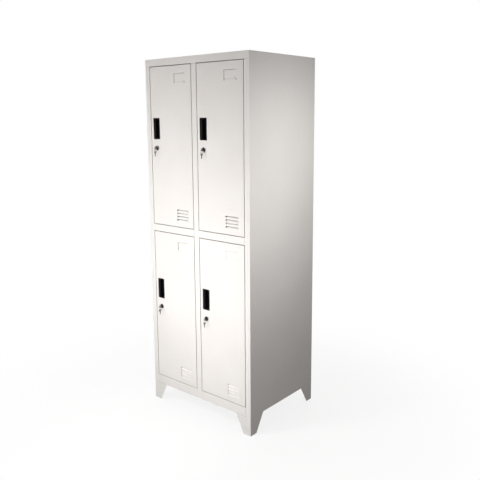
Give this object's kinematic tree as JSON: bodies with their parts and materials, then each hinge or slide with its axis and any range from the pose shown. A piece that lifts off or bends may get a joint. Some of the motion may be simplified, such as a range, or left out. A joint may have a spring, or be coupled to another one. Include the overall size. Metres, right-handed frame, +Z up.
{
  "type": "locker cabinet",
  "caption": "Tall steel locker cabinet with two columns of hinged doors, recessed pulls, cam locks, louvres and splayed sheet-metal legs.",
  "frame": {"origin": "on the floor under the middle of the bounding box, keys included", "axes": "+X to the cabinet's right as seen from the front, -Y out of the doors, +Z up"},
  "size_m": [0.694, 0.56, 1.85],
  "materials": {
    "powder_coat": "light warm-grey powder coat, satin with a fine orange peel",
    "black_plastic": "moulded black ABS, low gloss",
    "chrome_lock": "bright chrome plate on die-cast zinc",
    "zinc_steel": "bright zinc-plated steel",
    "nickel_key": "nickel-plated steel key"
  },
  "bodies": {
    "carcass": {"top_panel": "powder_coat", "bottom_panel": "powder_coat", "back_panel": "powder_coat", "centre_partition": "powder_coat", "centre_stile": "powder_coat", "left_side_panel": "powder_coat", "left_stile": "powder_coat", "left_shelf": "powder_coat", "front_left_leg": "powder_coat", "rear_left_leg": "powder_coat", "upper_left_coat_rod": "zinc_steel", "lower_left_coat_rod": "zinc_steel", "right_side_panel": "powder_coat", "right_stile": "powder_coat", "right_shelf": "powder_coat", "front_right_leg": "powder_coat", "rear_right_leg": "powder_coat", "upper_right_coat_rod": "zinc_steel", "lower_right_coat_rod": "zinc_steel"},
    "upper_left_door": {"upper_left_door_panel": "powder_coat", "upper_left_door_stiffener": "powder_coat", "upper_left_hinge_rod": "zinc_steel", "upper_left_handle": "black_plastic", "upper_left_lock_barrel": "chrome_lock"},
    "upper_left_lock": {"upper_left_lock_plug": "chrome_lock", "upper_left_lock_cam": "zinc_steel", "upper_left_key": "nickel_key"},
    "upper_left_key_ring": {"upper_left_key_ring": "zinc_steel", "upper_left_spare_key": "nickel_key"},
    "upper_right_door": {"upper_right_door_panel": "powder_coat", "upper_right_door_stiffener": "powder_coat", "upper_right_hinge_rod": "zinc_steel", "upper_right_handle": "black_plastic", "upper_right_lock_barrel": "chrome_lock"},
    "upper_right_lock": {"upper_right_lock_plug": "chrome_lock", "upper_right_lock_cam": "zinc_steel", "upper_right_key": "nickel_key"},
    "upper_right_key_ring": {"upper_right_key_ring": "zinc_steel", "upper_right_spare_key": "nickel_key"},
    "lower_left_door": {"lower_left_door_panel": "powder_coat", "lower_left_door_stiffener": "powder_coat", "lower_left_hinge_rod": "zinc_steel", "lower_left_handle": "black_plastic", "lower_left_lock_barrel": "chrome_lock"},
    "lower_left_lock": {"lower_left_lock_plug": "chrome_lock", "lower_left_lock_cam": "zinc_steel", "lower_left_key": "nickel_key"},
    "lower_left_key_ring": {"lower_left_key_ring": "zinc_steel", "lower_left_spare_key": "nickel_key"},
    "lower_right_door": {"lower_right_door_panel": "powder_coat", "lower_right_door_stiffener": "powder_coat", "lower_right_hinge_rod": "zinc_steel", "lower_right_handle": "black_plastic", "lower_right_lock_barrel": "chrome_lock"},
    "lower_right_lock": {"lower_right_lock_plug": "chrome_lock", "lower_right_lock_cam": "zinc_steel", "lower_right_key": "nickel_key"},
    "lower_right_key_ring": {"lower_right_key_ring": "zinc_steel", "lower_right_spare_key": "nickel_key"}
  },
  "joints": [
    {"name": "upper_left_door_hinge", "type": "hinge", "parent": "carcass", "child": "upper_left_door", "pos_m": [-0.0245, -0.249, 1.40475], "axis": [0, 0, 1], "range_deg": [0, 110]},
    {"name": "upper_left_lock_turn", "type": "hinge", "parent": "upper_left_door", "child": "upper_left_lock", "pos_m": [-0.27, -0.254, 1.4], "axis": [0, 1, 0], "range_deg": [0, 90]},
    {"name": "upper_left_key_ring_swing", "type": "hinge", "parent": "upper_left_lock", "child": "upper_left_key_ring", "pos_m": [-0.27, -0.272, 1.4], "axis": [0, 1, 0], "range_deg": [-45.1, 0]},
    {"name": "upper_right_door_hinge", "type": "hinge", "parent": "carcass", "child": "upper_right_door", "pos_m": [0.308, -0.249, 1.40475], "axis": [0, 0, 1], "range_deg": [0, 110]},
    {"name": "upper_right_lock_turn", "type": "hinge", "parent": "upper_right_door", "child": "upper_right_lock", "pos_m": [0.0625, -0.254, 1.4], "axis": [0, 1, 0], "range_deg": [0, 90]},
    {"name": "upper_right_key_ring_swing", "type": "hinge", "parent": "upper_right_lock", "child": "upper_right_key_ring", "pos_m": [0.0625, -0.272, 1.4], "axis": [0, 1, 0], "range_deg": [-45.1, 0]},
    {"name": "lower_left_door_hinge", "type": "hinge", "parent": "carcass", "child": "lower_left_door", "pos_m": [-0.0245, -0.249, 0.55025], "axis": [0, 0, 1], "range_deg": [0, 110]},
    {"name": "lower_left_lock_turn", "type": "hinge", "parent": "lower_left_door", "child": "lower_left_lock", "pos_m": [-0.27, -0.254, 0.5455], "axis": [0, 1, 0], "range_deg": [0, 90]},
    {"name": "lower_left_key_ring_swing", "type": "hinge", "parent": "lower_left_lock", "child": "lower_left_key_ring", "pos_m": [-0.27, -0.272, 0.5455], "axis": [0, 1, 0], "range_deg": [-45.1, 0]},
    {"name": "lower_right_door_hinge", "type": "hinge", "parent": "carcass", "child": "lower_right_door", "pos_m": [0.308, -0.249, 0.55025], "axis": [0, 0, 1], "range_deg": [0, 110]},
    {"name": "lower_right_lock_turn", "type": "hinge", "parent": "lower_right_door", "child": "lower_right_lock", "pos_m": [0.0625, -0.254, 0.5455], "axis": [0, 1, 0], "range_deg": [0, 90]},
    {"name": "lower_right_key_ring_swing", "type": "hinge", "parent": "lower_right_lock", "child": "lower_right_key_ring", "pos_m": [0.0625, -0.272, 0.5455], "axis": [0, 1, 0], "range_deg": [-45.1, 0]}
  ],
  "couplings": [
    {"joint": "upper_left_key_ring_swing", "follows": "upper_left_lock_turn", "ratio": -0.5},
    {"joint": "upper_right_key_ring_swing", "follows": "upper_right_lock_turn", "ratio": -0.5},
    {"joint": "lower_left_key_ring_swing", "follows": "lower_left_lock_turn", "ratio": -0.5},
    {"joint": "lower_right_key_ring_swing", "follows": "lower_right_lock_turn", "ratio": -0.5}
  ]
}
